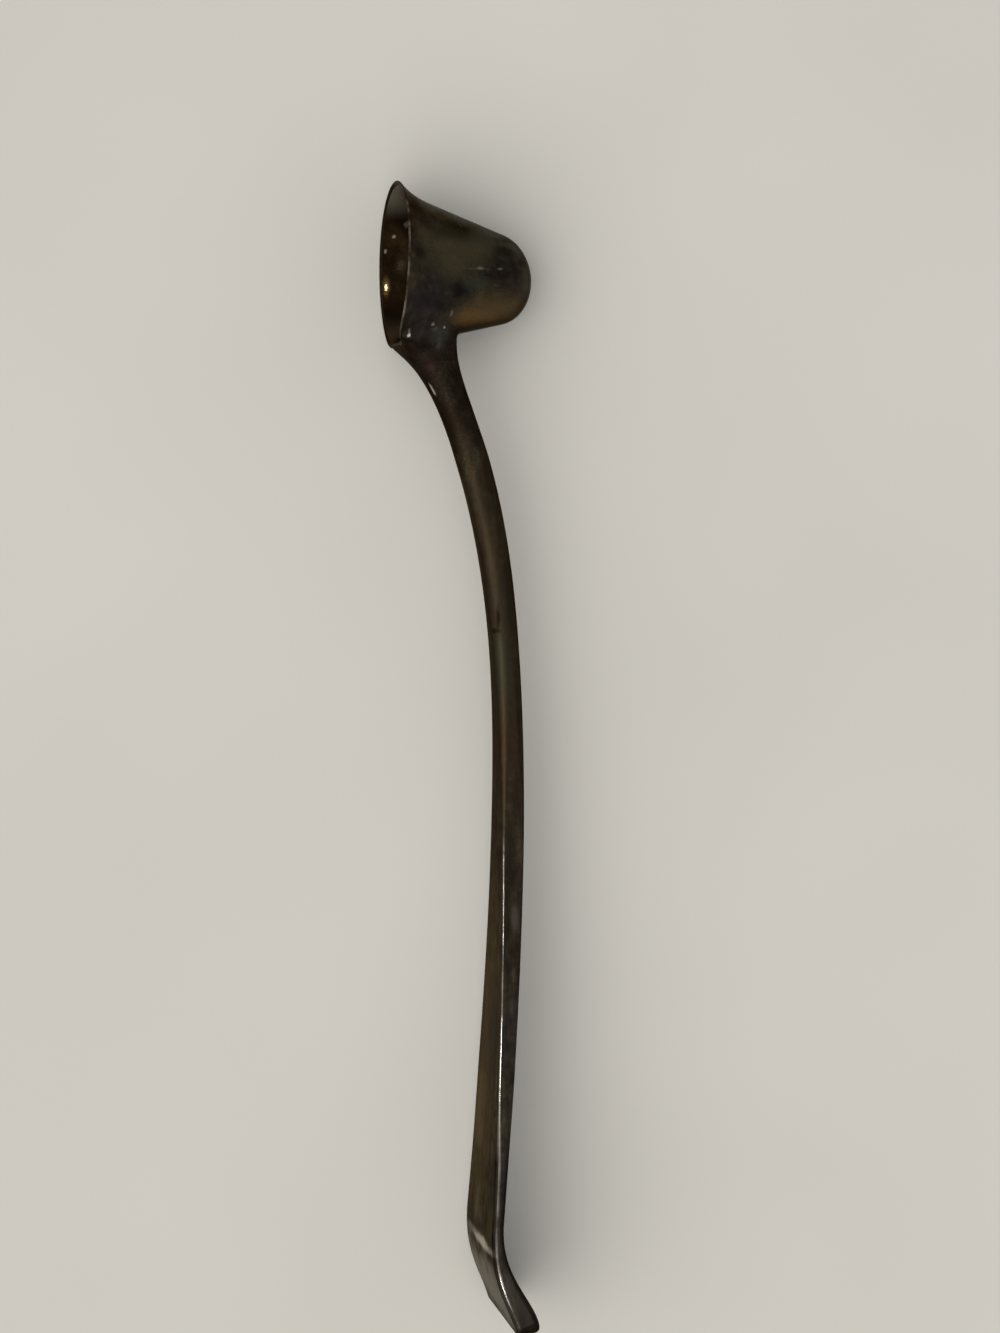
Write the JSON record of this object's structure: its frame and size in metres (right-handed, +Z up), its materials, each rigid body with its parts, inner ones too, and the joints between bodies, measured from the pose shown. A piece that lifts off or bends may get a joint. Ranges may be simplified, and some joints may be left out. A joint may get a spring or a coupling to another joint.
{
  "type": "candle snuffer",
  "caption": "Candle snuffer with a flared bell cup soldered to a curved handle that spreads into a thumb blade with a turned-over end.",
  "frame": {"origin": "on the ground under the middle of the part as it lies on its side", "axes": "+Z up from the ground, +Y along the handle towards the cup, +X from the mouth towards the crown of the cup"},
  "size_m": [0.0386, 0.2666, 0.0372],
  "materials": {
    "cup_plate": "spun brass cup, silver-plated, worn and darkly tarnished, satin to half-gloss",
    "handle_plate": "forged brass handle, silver-plated, darkly tarnished, edges rubbed bright",
    "solder": "silver solder, filed flush and darkly tarnished like the plate beside it"
  },
  "bodies": {
    "root": {"bell_cup": "cup_plate", "handle": "handle_plate", "solder_seam": "solder"}
  },
  "joints": []
}
